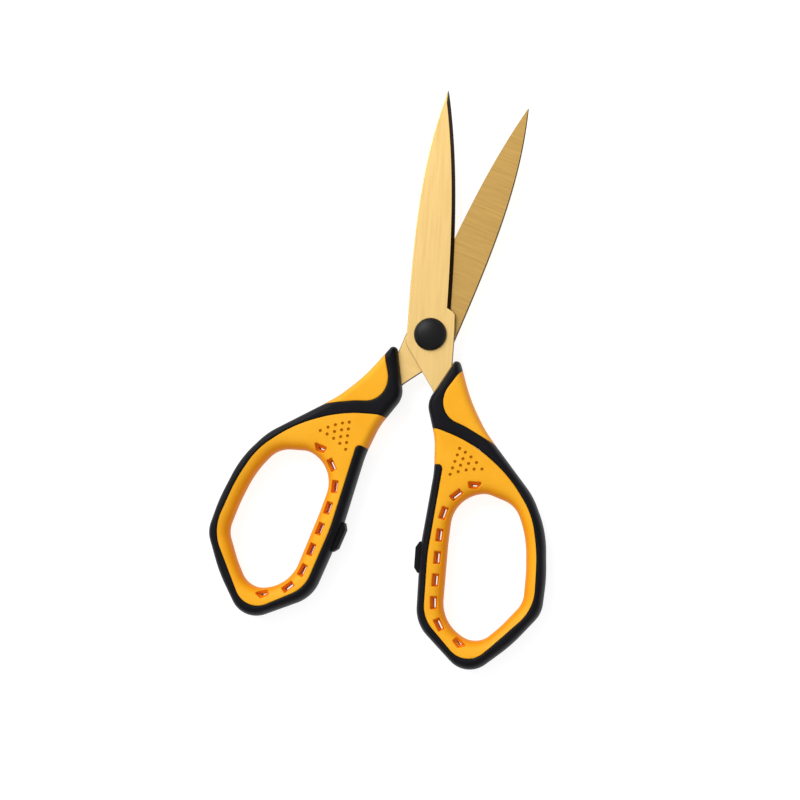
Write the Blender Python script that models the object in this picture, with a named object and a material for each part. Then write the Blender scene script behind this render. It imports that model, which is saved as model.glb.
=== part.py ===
"""Office scissors, 0.21 m long: two equal halves that turn on one pivot.

The origin is on the pivot axis, in the plane that the scissors lie on. +Y points along the middle
of the open blades and +Z is up, out of the front face. Each half is drawn with the scissors closed,
its blade along +Y and its finger loop on the +X side, under an empty on the pivot axis that opens
it. The rear half is the front half turned half a turn about +Y, as the two real halves are alike.
Sizes are in millimetres and become metres where the meshes are made.
"""

import math

import bmesh
import bpy
from mathutils import Matrix, Vector

MM = 0.001

OPEN_ANGLE = 19.4  # between the two blades, as they lie
FIT_GAP = 0.3  # around a piece that sits in another
SLIDE_GAP = 0.1  # between pieces that turn on each other

# Handle: outlines are corners (x, y, radius), for the half whose loop is on the +X side.
HANDLE_THICKNESS = 11.0
HANDLE_CORNERS = [
    (10.7, -7.1, 1.5),
    (16.3, -23.3, 60),
    (22.2, -33.6, 40),
    (26.9, -39.5, 15),
    (41.4, -56.6, 28),
    (46.9, -69.0, 40),
    (48.1, -86.0, 60),
    (47.3, -98.6, 11),
    (37.1, -110.8, 60),
    (21.7, -123.8, 9.5),
    (2.0, -105.4, 14),
    (1.7, -78.5, 60),
    (4.8, -50.0, 40),
    (4.2, -38.0, 25),
    (0.4, -25.0, 8),
]
OPENING_CORNERS = [
    (12.7, -59.0, 12.4),
    (24.5, -56.7, 8),
    (35.4, -60.4, 10),
    (39.9, -71.5, 40),
    (40.7, -84.0, 60),
    (40.4, -95.3, 9),
    (32.9, -104.2, 40),
    (24.4, -112.2, 8.5),
    (11.3, -104.0, 14),
    (11.7, -76.0, 60),
]
# Where the hard core shows on the handle's two faces. The soft grip covers the rest.
SHOULDER_CORNERS = [
    (13.7, -11.2, 0),
    (30.0, -30.0, 0),
    (27.3, -39.4, 0),
    (15.5, -33.2, 20),
    (6.8, -29.8, 8),
    (6.9, -21.3, 9.5),
]
FACE_CORNERS = [
    (-3.0, -34.5, 0),
    (5.3, -34.5, 10),
    (18.6, -38.9, 50),
    (32.8, -50.3, 50),
    (41.8, -63.3, 30),
    (44.5, -77.0, 60),
    (44.8, -97.2, 17),
    (21.7, -120.2, 8.5),
    (5.1, -103.2, 12.5),
    (5.05, -80.0, 60),
    (8.45, -47.5, 1.6),
    (-3.0, -47.5, 0),
]
EDGE_ROUNDING = [(0.0, 1.3), (0.6, 0.45), (1.8, 0.0)]  # depth from the face, inset there
RIM_WIDTH = 2.2  # of soft grip outside the core's tongue
FACE_LAYER = 2.0  # of soft grip over each face of the tongue

# Slots through the handle beside the finger opening: equal ones in a row, and a three-cornered one at
# each end of the row.
SLOT_COUNT = 7
SLOT_PITCH = 8.15
SLOT_LENGTH = 4.7
SLOT_WIDTH = 2.3
SLOT_TO_OPENING = 3.0
SLOT_MIDDLE_Y = -81.1
END_SLOTS = [
    [(17.6, -53.1, 0.5), (23.1, -53.0, 0.4), (18.8, -55.8, 0.5)],
    [(16.3, -110.5, 0.5), (17.6, -109.3, 0.5), (21.4, -112.0, 0.4), (18.4, -112.9, 0.5)],
]

DIMPLE_ROWS = 5
DIMPLE_APEX = Vector((14.1, -41.3))
DIMPLE_ROW_LEFT = Vector((-0.7, -2.4))  # from the first dimple of a row to that of the next
DIMPLE_ROW_RIGHT = Vector((2.16, -1.12))  # from the first row's dimple down the pattern's other side
DIMPLE_DROOP = 0.155  # that side bends down by this times the square of the place in the row
DIMPLE_RADIUS = 0.5
DIMPLE_DEPTH = 0.35

# Stop bumper on each handle's inner side, which meets the other one as the blades close.
BUMPER_CORNERS = [
    (0.15, -77.9, 0.8),
    (0.15, -85.3, 0.8),
    (1.5, -87.2, 0.6),
    (2.9, -87.2, 0.4),
    (2.9, -75.7, 0.4),
    (1.5, -75.7, 0.6),
]
BUMPER_HEIGHT = 6.0
BUMPER_CHAMFER = 0.5
BUMPER_GAP = 0.2

# Blade: it tapers from the heel to the tip, with one ground bevel along its cutting edge.
BLADE_THICKNESS = 1.9
BLADE_GAP = 0.2
TIP_Y = 90.0  # the last station of its curved sides
TIP_POINT = 1.0  # from there to the very point
TIP_X = 0.1
HEEL_Y = 10.0
SPINE_X = -8.8
SPINE_END_Y = 90.5  # where the spine's curve would reach the blade's middle line
SPINE_POWER = 3.2  # the higher, the straighter the spine runs before it curves in
EDGE_X = 6.6
EDGE_END_Y = 92.0
EDGE_POWER = 2.9
BLADE_STATIONS = 11
STATION_POWER = 0.8  # under 1, stations stand closer towards the tip
BEVEL_WIDTH = 1.3
SPINE_CHAMFER = 0.3
HEEL_STEP = [(8.5, 7.9, 1.0), (8.8, 2.0, 30)]
TANG_CORNERS = [(8.7, -11.0, 6), (13.6, -35.5, 2), (7.3, -38.5, 2), (2.6, -20.9, 8)]
TANG_SHOULDER = (-8.8, -4.0, 3)
TANG_HOLES = [(7.6, -25.5), (9.5, -32.5)]
TANG_HOLE_RADIUS = 1.8

# Pivot stack.
SCREW_RADIUS = 2.5
HEAD_RADIUS = 4.2
HEAD_HEIGHT = 1.0
HEAD_CHAMFER = 0.3
DRIVER_SLOT_WIDTH = 0.8
DRIVER_SLOT_DEPTH = 0.5
SCREW_END_CHAMFER = 0.2
WASHER_RADIUS = 4.4
FLAT_WASHER = 0.4
SPRING_WASHER = 0.3
SPRING_RISE = 0.2
SPACER_RADIUS = 5.4
SPACER_HEIGHT = 0.6
NUT_ACROSS_FLATS = 7.0
NUT_HEIGHT = 1.05
CAP_RADIUS = 6.0
CAP_RIM = 0.7
CAP_CAVITY_RADIUS = 4.7
FRONT_DOME_RISE = 2.7
REAR_DOME_RISE = 3.1
ROUND_STEPS = 24

MIDDLE_Z = HANDLE_THICKNESS / 2
BLADE_INNER_Z = MIDDLE_Z + BLADE_GAP / 2
BLADE_OUTER_Z = BLADE_INNER_Z + BLADE_THICKNESS
REAR_OUTER_Z = HANDLE_THICKNESS - BLADE_OUTER_Z
HOLE_RADIUS = SCREW_RADIUS + SLIDE_GAP


def clear_scene():
    for obj in list(bpy.data.objects):
        bpy.data.objects.remove(obj)


def material(name, colour, roughness, metallic=0.0):
    made = bpy.data.materials.new(name)
    made.use_nodes = True
    shader = made.node_tree.nodes["Principled BSDF"]
    shader.inputs["Base Color"].default_value = (*colour, 1.0)
    shader.inputs["Roughness"].default_value = roughness
    shader.inputs["Metallic"].default_value = metallic
    made.diffuse_color = (*colour, 1.0)
    return made


# Outlines


def unit(dx, dy):
    length = math.hypot(dx, dy)
    return dx / length, dy / length


def rounded(corners, step=15.0):
    """The closed outline through corners (x, y, radius), its arcs cut about every step degrees."""
    points = []
    for i, (x, y, radius) in enumerate(corners):
        before = corners[i - 1]
        after = corners[(i + 1) % len(corners)]
        ax, ay = unit(before[0] - x, before[1] - y)
        bx, by = unit(after[0] - x, after[1] - y)
        turn = math.pi - math.acos(max(-1.0, min(1.0, ax * bx + ay * by)))
        if radius <= 0 or turn < 0.001:
            points.append((x, y))
            continue
        reach = radius * math.tan(turn / 2)
        mx, my = unit(ax + bx, ay + by)
        cx = x + mx * radius / math.cos(turn / 2)
        cy = y + my * radius / math.cos(turn / 2)
        start = math.atan2(y + reach * ay - cy, x + reach * ax - cx)
        end = math.atan2(y + reach * by - cy, x + reach * bx - cx)
        sweep = (end - start + math.pi) % (2 * math.pi) - math.pi
        parts = max(1, math.ceil(math.degrees(abs(sweep)) / step))
        for j in range(parts + 1):
            angle = start + sweep * j / parts
            points.append((cx + radius * math.cos(angle), cy + radius * math.sin(angle)))
    return points


def turns_left(points):
    area = 0.0
    for (ax, ay, *_), (bx, by, *_) in zip(points, points[1:] + points[:1]):
        area += ax * by - bx * ay
    return area > 0


def moved_out(point, before, after, distance, left):
    """The corner where the two sides that meet at point would meet if both moved out by distance."""
    side = 1 if left else -1
    ax, ay = unit(point[0] - before[0], point[1] - before[1])
    bx, by = unit(after[0] - point[0], after[1] - point[1])
    nx, ny = unit(side * (ay + by), -side * (ax + bx))
    stretch = max(0.35, nx * side * ay - ny * side * ax)
    return point[0] + nx * distance / stretch, point[1] + ny * distance / stretch


def offset(points, distance):
    """The same points, moved square to the outline: outwards, or inwards if distance is negative."""
    left = turns_left(points)
    after = points[1:] + points[:1]
    return [moved_out(p, points[i - 1], after[i], distance, left) for i, p in enumerate(points)]


def offset_corners(corners, distance):
    """Corners of the outline moved outwards by distance, each arc keeping its centre."""
    left = turns_left(corners)
    made = []
    for i, (x, y, radius) in enumerate(corners):
        before = corners[i - 1]
        after = corners[(i + 1) % len(corners)]
        cross = (x - before[0]) * (after[1] - y) - (y - before[1]) * (after[0] - x)
        bulges = (cross > 0) == left
        new_radius = max(0.2, radius + (distance if bulges else -distance)) if radius > 0 else 0
        made.append((*moved_out((x, y), before, after, distance, left), new_radius))
    return made


def circle(centre, radius, steps):
    cx, cy = centre
    turns = [2 * math.pi * i / steps for i in range(steps)]
    return [(cx + radius * math.cos(t), cy + radius * math.sin(t)) for t in turns]


# Solids


def add_object(name, mesh, made_of=None):
    obj = bpy.data.objects.new(name, mesh)
    bpy.context.scene.collection.objects.link(obj)
    if made_of:
        mesh.materials.append(made_of)
    return obj


def finished(name, shape, made_of=None):
    bmesh.ops.recalc_face_normals(shape, faces=shape.faces[:])
    mesh = bpy.data.meshes.new(name)
    shape.to_mesh(mesh)
    shape.free()
    return add_object(name, mesh, made_of)


def add_loft(shape, rings):
    """Adds a closed solid through rings, each (points, z), whose points answer to one another."""
    loops = [[shape.verts.new((x * MM, y * MM, z * MM)) for x, y in points] for points, z in rings]
    shape.faces.new(reversed(loops[0]))
    shape.faces.new(loops[-1])
    for lower, upper in zip(loops, loops[1:]):
        for i in range(len(lower)):
            j = (i + 1) % len(lower)
            shape.faces.new((lower[i], lower[j], upper[j], upper[i]))


def loft(name, rings, made_of=None):
    shape = bmesh.new()
    add_loft(shape, rings)
    return finished(name, shape, made_of)


def prisms(name, outlines, low, high):
    """One object that holds a straight prism on each outline."""
    shape = bmesh.new()
    for outline in outlines:
        add_loft(shape, [(outline, low), (outline, high)])
    return finished(name, shape)


def turned(name, profile, made_of):
    """A profile of (radius, z) turned about the pivot axis."""
    shape = bmesh.new()
    verts = [shape.verts.new((radius * MM, 0, z * MM)) for radius, z in profile]
    edges = [shape.edges.new((verts[i - 1], verts[i])) for i in range(len(verts))]
    bmesh.ops.spin(
        shape,
        geom=verts + edges,
        cent=(0, 0, 0),
        axis=(0, 0, 1),
        angle=2 * math.pi,
        steps=ROUND_STEPS,
        use_merge=True,
    )
    bmesh.ops.remove_doubles(shape, verts=shape.verts[:], dist=1e-6)
    return finished(name, shape, made_of)


def combine(target, operation, tool):
    """Applies one Boolean to target and removes the tool."""
    modifier = target.modifiers.new(operation.lower(), "BOOLEAN")
    modifier.operation = operation
    modifier.object = tool
    modifier.solver = "EXACT"
    graph = bpy.context.evaluated_depsgraph_get()
    mesh = bpy.data.meshes.new_from_object(target.evaluated_get(graph))
    target.modifiers.clear()
    target.data = mesh
    bpy.data.objects.remove(tool)
    return target


def shade(obj, degrees=35):
    obj.data.shade_smooth()
    obj.data.set_sharp_from_angle(angle=math.radians(degrees))


# Blade


def spine_x(y):
    return SPINE_X * (1 - (y / SPINE_END_Y) ** SPINE_POWER)


def edge_x(y):
    return EDGE_X * (1 - (y / EDGE_END_Y) ** EDGE_POWER)


def blade_corners():
    shares = [(i / BLADE_STATIONS) ** STATION_POWER for i in range(BLADE_STATIONS + 1)]
    heights = [HEEL_Y + (TIP_Y - HEEL_Y) * share for share in shares]
    edge = [(edge_x(y), y, 0) for y in reversed(heights)]
    spine = [(spine_x(y), y, 0) for y in heights]
    tip = (TIP_X, TIP_Y + TIP_POINT, 0)
    return [tip, *edge, *HEEL_STEP, *TANG_CORNERS, TANG_SHOULDER, (SPINE_X, 0.0, 0), *spine]


def ground(point, depth):
    """Where an outline point of the inner face lies at depth below the outer face."""
    x, y = point
    if y > TIP_Y:
        return 0.0, y - TIP_POINT / 2 * (1 - depth / BLADE_THICKNESS)
    if x > 0 and y >= HEEL_Y - 0.01:
        bevel = min(BEVEL_WIDTH, (edge_x(y) - spine_x(y)) / 2)
        return x - bevel * (1 - depth / BLADE_THICKNESS), y
    if x < 0 and y >= 0:
        chamfer = min(SPINE_CHAMFER, (edge_x(y) - spine_x(y)) / 6)
        return x + chamfer * max(0.0, 1 - depth / SPINE_CHAMFER), y
    return point


def tang_pocket(name):
    """The blade's tang with room around it, less the pegs that pass through its holes."""
    corners = [(8.7, -4.0, 0), *TANG_CORNERS, (SPINE_X, -4.0, 0)]
    low = BLADE_INNER_Z - FIT_GAP
    high = BLADE_OUTER_Z + FIT_GAP
    pocket = prisms(name, [rounded(offset_corners(corners, FIT_GAP))], low, high)
    pegs = [circle(centre, TANG_HOLE_RADIUS - FIT_GAP, 12) for centre in TANG_HOLES]
    return combine(pocket, "DIFFERENCE", prisms("pegs", pegs, low - 1, high + 1))


def make_blade(name, made_of):
    inner = rounded(blade_corners())
    depths = [BLADE_THICKNESS, SPINE_CHAMFER, 0.0]
    rings = [([ground(p, depth) for p in inner], BLADE_OUTER_Z - depth) for depth in depths]
    blade = loft(name, rings, made_of)
    seat = (SPACER_HEIGHT - BLADE_GAP) / 2 + SLIDE_GAP
    recess = circle((0, 0), SPACER_RADIUS + SLIDE_GAP, ROUND_STEPS)
    combine(blade, "DIFFERENCE", prisms("recess", [recess], BLADE_INNER_Z - 1, BLADE_INNER_Z + seat))
    holes = [circle(centre, TANG_HOLE_RADIUS, 12) for centre in TANG_HOLES]
    holes.append(circle((0, 0), HOLE_RADIUS, ROUND_STEPS))
    combine(blade, "DIFFERENCE", prisms("holes", holes, BLADE_INNER_Z - 1, BLADE_OUTER_Z + 1))
    shade(blade)
    return blade


# Handle


def rounded_edge_rings(points, flare=-1):
    """Rings up a handle's thickness. flare -1 rounds an outer edge, and 1 opens a hole's edge."""
    lower = [(offset(points, flare * inset), depth) for depth, inset in EDGE_ROUNDING]
    upper = [(outline, HANDLE_THICKNESS - depth) for outline, depth in reversed(lower)]
    return lower + upper


def handle_blank(name, made_of):
    return loft(name, rounded_edge_rings(rounded(HANDLE_CORNERS)), made_of)


def face_plates(name, gap):
    outlines = [rounded(offset_corners(c, gap)) for c in (FACE_CORNERS, SHOULDER_CORNERS)]
    return prisms(name, outlines, -1, HANDLE_THICKNESS + 1)


def tongue(name, gap):
    outline = rounded(offset_corners(HANDLE_CORNERS, gap - RIM_WIDTH))
    return prisms(name, [outline], FACE_LAYER - gap, HANDLE_THICKNESS - FACE_LAYER + gap)


def opening_cutter():
    rings = rounded_edge_rings(rounded(OPENING_CORNERS), flare=1)
    widest = offset(rings[0][0], EDGE_ROUNDING[0][1])
    return loft("opening", [(widest, -1), *rings, (widest, HANDLE_THICKNESS + 1)])


def slot_places():
    """(point, direction) of each slot, at one pitch along a line around the finger opening."""
    line = [Vector(p) for p in offset(rounded(OPENING_CORNERS, 5.0), SLOT_TO_OPENING)]
    start = min(range(len(line)), key=lambda i: (line[i].x > 20, abs(line[i].y - SLOT_MIDDLE_Y)))
    line = line[start:] + line[:start]
    lengths = [0.0]
    for a, b in zip(line, line[1:]):
        lengths.append(lengths[-1] + (b - a).length)
    total = lengths[-1] + (line[0] - line[-1]).length
    first = (SLOT_MIDDLE_Y - line[0].y) * (1 if line[1].y > line[0].y else -1)
    places = []
    for i in range(SLOT_COUNT):
        along = (first + (i - SLOT_COUNT // 2) * SLOT_PITCH) % total
        k = max(j for j in range(len(line)) if lengths[j] <= along)
        direction = (line[(k + 1) % len(line)] - line[k]).normalized()
        places.append((line[k] + direction * (along - lengths[k]), direction))
    return places


def slot_outline(centre, direction):
    across = Vector((-direction.y, direction.x))
    corners = []
    for u, v in ((-1, -1), (1, -1), (1, 1), (-1, 1)):
        corner = centre + direction * u * SLOT_LENGTH / 2 + across * v * SLOT_WIDTH / 2
        corners.append((corner.x, corner.y, 0.6))
    return rounded(corners, 90)


def dimple_outlines():
    made = []
    for row in range(DIMPLE_ROWS):
        for k in range(row + 1):
            centre = DIMPLE_APEX + DIMPLE_ROW_LEFT * (row - k) + DIMPLE_ROW_RIGHT * k
            centre.y -= DIMPLE_DROOP * k**2
            made.append(circle(centre, DIMPLE_RADIUS, 6))
    return made


def make_core(name, made_of):
    core = handle_blank(name, made_of)
    combine(core, "INTERSECT", face_plates("plates", 0))
    combine(core, "UNION", tongue("tongue", 0))
    combine(core, "DIFFERENCE", opening_cutter())
    slots = [slot_outline(*place) for place in slot_places()]
    slots += [rounded(corners, 90) for corners in END_SLOTS]
    combine(core, "DIFFERENCE", prisms("slots", slots, -1, HANDLE_THICKNESS + 1))
    dimples = dimple_outlines()
    combine(core, "DIFFERENCE", prisms("dimples", dimples, -1, DIMPLE_DEPTH))
    top = HANDLE_THICKNESS
    combine(core, "DIFFERENCE", prisms("dimples", dimples, top - DIMPLE_DEPTH, top + 1))
    combine(core, "DIFFERENCE", tang_pocket("pocket"))
    shade(core)
    return core


def make_grip(name, made_of):
    grip = handle_blank(name, made_of)
    combine(grip, "DIFFERENCE", face_plates("plates", FIT_GAP))
    combine(grip, "DIFFERENCE", tongue("tongue", FIT_GAP))
    combine(grip, "DIFFERENCE", tang_pocket("pocket"))
    seat = rounded(offset_corners(BUMPER_CORNERS, BUMPER_GAP), 45)
    reach = BUMPER_HEIGHT / 2 + BUMPER_GAP
    combine(grip, "DIFFERENCE", prisms("seat", [seat], MIDDLE_Z - reach, MIDDLE_Z + reach))
    shade(grip)
    return grip


def make_bumper(name, made_of):
    outline = rounded(BUMPER_CORNERS, 45)
    face = offset(outline, -BUMPER_CHAMFER)
    low = MIDDLE_Z - BUMPER_HEIGHT / 2
    high = MIDDLE_Z + BUMPER_HEIGHT / 2
    rings = [(face, low), (outline, low + BUMPER_CHAMFER), (outline, high - BUMPER_CHAMFER), (face, high)]
    bumper = loft(name, rings, made_of)
    shade(bumper)
    return bumper


# Pivot


def dome(rise, steps=6):
    """(radius, height above the rim) down a cap's dome, from its top to its rim."""
    turns = [math.pi / 2 * i / steps for i in range(steps + 1)]
    return [(CAP_RADIUS * math.sin(t), rise * math.cos(t)) for t in turns]


def make_screw(name, made_of):
    low = REAR_OUTER_Z - 3 * SLIDE_GAP - SPRING_WASHER - SPRING_RISE - NUT_HEIGHT
    head = BLADE_OUTER_Z + 2 * SLIDE_GAP + FLAT_WASHER
    top = head + HEAD_HEIGHT
    profile = [(0, top), (HEAD_RADIUS - HEAD_CHAMFER, top), (HEAD_RADIUS, top - HEAD_CHAMFER)]
    profile += [(HEAD_RADIUS, head), (SCREW_RADIUS, head), (SCREW_RADIUS, low + SCREW_END_CHAMFER)]
    profile += [(SCREW_RADIUS - SCREW_END_CHAMFER, low), (0, low)]
    screw = turned(name, profile, made_of)
    x, y = HEAD_RADIUS + 1, DRIVER_SLOT_WIDTH / 2
    slot = [(-x, -y), (x, -y), (x, y), (-x, y)]
    combine(screw, "DIFFERENCE", prisms("driver_slot", [slot], top - DRIVER_SLOT_DEPTH, top + 1))
    shade(screw)
    return screw


def make_ring(name, made_of, radius, low, high, rise=0.0):
    """A flat washer, or a cone washer where rise lifts its inner edge."""
    hole = HOLE_RADIUS + SLIDE_GAP
    profile = [(hole, high + rise), (radius, high), (radius, low), (hole, low + rise)]
    ring = turned(name, profile, made_of)
    shade(ring)
    return ring


def make_nut(name, made_of):
    high = REAR_OUTER_Z - 2 * SLIDE_GAP - SPRING_WASHER - SPRING_RISE
    hexagon = circle((0, 0), NUT_ACROSS_FLATS / 2 / math.cos(math.pi / 6), 6)
    nut = loft(name, [(hexagon, high - NUT_HEIGHT), (hexagon, high)], made_of)
    bore = circle((0, 0), HOLE_RADIUS, ROUND_STEPS)
    return combine(nut, "DIFFERENCE", prisms("bore", [bore], 0, high + 1))


def make_front_cap(name, made_of):
    low = BLADE_OUTER_Z + SLIDE_GAP
    ceiling = low + FLAT_WASHER + HEAD_HEIGHT + 3 * SLIDE_GAP
    profile = [(radius, low + CAP_RIM + height) for radius, height in dome(FRONT_DOME_RISE)]
    profile += [(CAP_RADIUS, low), (CAP_CAVITY_RADIUS, low), (CAP_CAVITY_RADIUS, ceiling), (0, ceiling)]
    cap = turned(name, profile, made_of)
    shade(cap)
    return cap


def make_rear_cap(name, made_of):
    """The same cap, with its dome cut flat where the scissors rest on it."""
    high = REAR_OUTER_Z - SLIDE_GAP
    floor = high - SPRING_WASHER - SPRING_RISE - NUT_HEIGHT - 5 * SLIDE_GAP
    rim = high - CAP_RIM
    flat = CAP_RADIUS * math.sqrt(1 - (rim / REAR_DOME_RISE) ** 2)
    outside = [(radius, rim - height) for radius, height in dome(REAR_DOME_RISE) if height < rim]
    profile = [(0, floor), (CAP_CAVITY_RADIUS, floor), (CAP_CAVITY_RADIUS, high), (CAP_RADIUS, high)]
    profile += [*reversed(outside), (flat, 0.0), (0, 0.0)]
    cap = turned(name, profile, made_of)
    shade(cap)
    return cap


# Assembly


def half_axis(name, degrees):
    """An empty on the pivot axis that opens one half by this angle from closed."""
    axis = bpy.data.objects.new(name, None)
    axis.empty_display_size = 0.02
    axis.rotation_euler.z = math.radians(degrees)
    bpy.context.scene.collection.objects.link(axis)
    return axis


def turned_over(name, original):
    """A copy of a front-half piece for the rear half: half a turn about the blade's own line."""
    copy = bpy.data.objects.new(name, original.data)
    bpy.context.scene.collection.objects.link(copy)
    copy.matrix_basis = Matrix.Translation((0, 0, HANDLE_THICKNESS * MM)) @ Matrix.Rotation(math.pi, 4, "Y")
    return copy


def main():
    clear_scene()
    gold = material("gold_coated_steel", (0.88, 0.60, 0.28), 0.32, 1.0)
    yellow = material("yellow_hard_plastic", (0.95, 0.42, 0.025), 0.42)
    black = material("black_soft_grip", (0.022, 0.022, 0.027), 0.55)
    cap_black = material("black_cap_plastic", (0.018, 0.017, 0.018), 0.5)
    steel = material("pivot_steel", (0.6, 0.6, 0.62), 0.35, 1.0)
    nylon = material("white_nylon", (0.75, 0.73, 0.68), 0.5)

    front = half_axis("front_half_axis", OPEN_ANGLE / 2)
    rear = half_axis("rear_half_axis", -OPEN_ANGLE / 2)

    blade = make_blade("front_blade", gold)
    core = make_core("right_handle_core", yellow)
    grip = make_grip("right_soft_grip", black)
    bumper = make_bumper("right_stop_bumper", black)

    washer_low = BLADE_OUTER_Z + SLIDE_GAP
    spring_high = REAR_OUTER_Z - SLIDE_GAP - SPRING_RISE
    spacer_low = MIDDLE_Z - SPACER_HEIGHT / 2
    pivot = [
        make_screw("pivot_screw", steel),
        make_ring("front_washer", steel, WASHER_RADIUS, washer_low, washer_low + FLAT_WASHER),
        make_ring("blade_spacer", nylon, SPACER_RADIUS, spacer_low, spacer_low + SPACER_HEIGHT),
        make_ring(
            "spring_washer", steel, WASHER_RADIUS, spring_high - SPRING_WASHER, spring_high, SPRING_RISE
        ),
        make_nut("pivot_nut", steel),
        make_front_cap("front_pivot_cap", cap_black),
        make_rear_cap("rear_pivot_cap", cap_black),
    ]
    for piece in [blade, core, grip, bumper, *pivot]:
        piece.parent = front

    copies = [
        turned_over("rear_blade", blade),
        turned_over("left_handle_core", core),
        turned_over("left_soft_grip", grip),
        turned_over("left_stop_bumper", bumper),
    ]
    for piece in copies:
        piece.parent = rear


main()
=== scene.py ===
"""Office scissors: fine meshes and procedural materials in place of the plain solids.

Both halves are the same shape. A half is drawn with the scissors closed, its blade along +Y and its
finger loop on the +X side, in millimetres. The rear half is that same mesh turned half a turn about +Y.
Handles, grips and bumpers are height fields over a flat outline: the height of the surface above the
middle plane comes from the distance to the outlines' edges, and the underside mirrors the top.
"""

import math

import bmesh
import bpy
import numpy as np
from mathutils import Matrix, Vector
from mathutils.geometry import delaunay_2d_cdt


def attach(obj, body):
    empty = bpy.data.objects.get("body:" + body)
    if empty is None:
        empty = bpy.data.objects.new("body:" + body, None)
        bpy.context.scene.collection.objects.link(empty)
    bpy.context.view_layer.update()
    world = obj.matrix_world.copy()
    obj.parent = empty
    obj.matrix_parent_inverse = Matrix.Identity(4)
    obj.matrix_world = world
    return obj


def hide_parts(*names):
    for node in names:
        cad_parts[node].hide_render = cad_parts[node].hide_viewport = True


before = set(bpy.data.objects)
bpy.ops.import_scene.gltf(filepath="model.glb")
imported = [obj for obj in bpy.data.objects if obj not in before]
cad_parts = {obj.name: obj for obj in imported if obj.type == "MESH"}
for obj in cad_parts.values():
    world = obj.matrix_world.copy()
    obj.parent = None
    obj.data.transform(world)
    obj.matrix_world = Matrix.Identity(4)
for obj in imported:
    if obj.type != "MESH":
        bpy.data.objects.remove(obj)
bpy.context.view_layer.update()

MM = 0.001
OPEN_ANGLE = 19.4
THICKNESS = 11.0
MIDDLE = THICKNESS / 2

# Outlines of one half: corners (x, y, radius). The spine is the blade's blunt side.
SPINE_X = -8.8
HANDLE = [
    (10.7, -7.1, 1.5),
    (16.3, -23.3, 60),
    (22.2, -33.6, 40),
    (26.9, -39.5, 15),
    (41.4, -56.6, 28),
    (46.9, -69.0, 40),
    (48.1, -86.0, 60),
    (47.3, -98.6, 11),
    (37.1, -110.8, 60),
    (21.7, -123.8, 9.5),
    (2.0, -105.4, 14),
    (1.7, -78.5, 60),
    (4.8, -50.0, 40),
    (4.2, -38.0, 25),
    (0.4, -25.0, 8),
]
OPENING = [
    (12.7, -59.0, 12.4),
    (24.5, -56.7, 8),
    (35.4, -60.4, 10),
    (39.9, -71.5, 40),
    (40.7, -84.0, 60),
    (40.4, -95.3, 9),
    (32.9, -104.2, 40),
    (24.4, -112.2, 8.5),
    (11.3, -104.0, 14),
    (11.7, -76.0, 60),
]
SHOULDER = [
    (13.7, -11.2, 0),
    (30.0, -30.0, 0),
    (27.3, -39.4, 0),
    (15.5, -33.2, 20),
    (6.8, -29.8, 8),
    (6.9, -21.3, 9.5),
]
FACE = [
    (-3.0, -34.5, 0),
    (5.3, -34.5, 10),
    (18.6, -38.9, 50),
    (32.8, -50.3, 50),
    (41.8, -63.3, 30),
    (44.5, -77.0, 60),
    (44.8, -97.2, 17),
    (21.7, -120.2, 8.5),
    (5.1, -103.2, 12.5),
    (5.05, -80.0, 60),
    (8.45, -47.5, 1.6),
    (-3.0, -47.5, 0),
]
BUMPER = [
    (0.15, -77.9, 0.8),
    (0.15, -85.3, 0.8),
    (1.5, -87.2, 0.6),
    (2.9, -87.2, 0.4),
    (2.9, -75.7, 0.4),
    (1.5, -75.7, 0.6),
]
END_SLOTS = [
    [(17.8, -52.9, 0.6), (23.2, -52.9, 0.5), (21.4, -55.6, 0.8), (18.3, -55.4, 0.6)],
    [(16.1, -110.5, 0.6), (17.7, -109.1, 0.6), (21.6, -112.1, 0.5), (18.4, -113.1, 0.6)],
]
TANG = [
    (8.7, -4.0, 0),
    (8.7, -11.0, 6),
    (13.6, -35.5, 2),
    (7.3, -38.5, 2),
    (2.6, -20.9, 8),
    (SPINE_X, -4.0, 0),
]

# The row of slots: seven alike, besides the two at its ends.
SLOT_COUNT = 7
SLOT_PITCH = 8.15
SLOT_LENGTH = 4.7
SLOT_WIDTH = 2.4
SLOT_TO_OPENING = 3.0
SLOT_MIDDLE_Y = -81.1
SLOT_CORNER = 0.3
SLOT_CORNER_LEAST = 0.06
SLOT_CORNER_SHRINK = 0.6
SLOT_LIP = 0.35
# The slot's wall: how far it has come in from the mouth, and its height above the middle plane.
SLOT_WALL = [(0.0, 5.03), (0.2, 3.0), (0.68, 2.6), (0.78, 0.0)]
# How many times as far the walls of the slots at the row's ends come in.
END_SLOT_STEP = 1.4

# The dimples fill a triangle: the steps from its apex down its left side and down its right side, and
# how far the right side droops, which grows with the square of the step.
DIMPLE_ROWS = 5
DIMPLE_APEX = Vector((14.1, -41.3))
DIMPLE_LEFT = Vector((-0.7, -2.4))
DIMPLE_RIGHT = Vector((2.16, -1.12))
DIMPLE_DROOP = Vector((0, -0.155))
DIMPLE_RADIUS = 0.6
DIMPLE_DEPTH = 0.8
DIMPLE_POWER = 2.5
# Rings that shape a dimple, as shares of its radius.
DIMPLE_RINGS = (0.4, 0.72, 0.9, 1.0, 1.15)

# Heights above the middle plane, and the superellipses that round them off towards the edges.
GRIP_TOP = 5.5
CORE_TOP = 5.38
OUTER_WIDTH = 2.8
OUTER_POWER = 2.3
CORE_OPENING_WIDTH = 6.5
CORE_OPENING_POWER = 2.5

# Lips along the seams: how wide, and how far they drop.
SEAM_GAP = 0.06
CORE_LIP = 0.45
CORE_LIP_DROP = 0.35
GRIP_LIP = 0.8
GRIP_LIP_DROP = 0.45
LIP_POWER = 2.0

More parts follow.
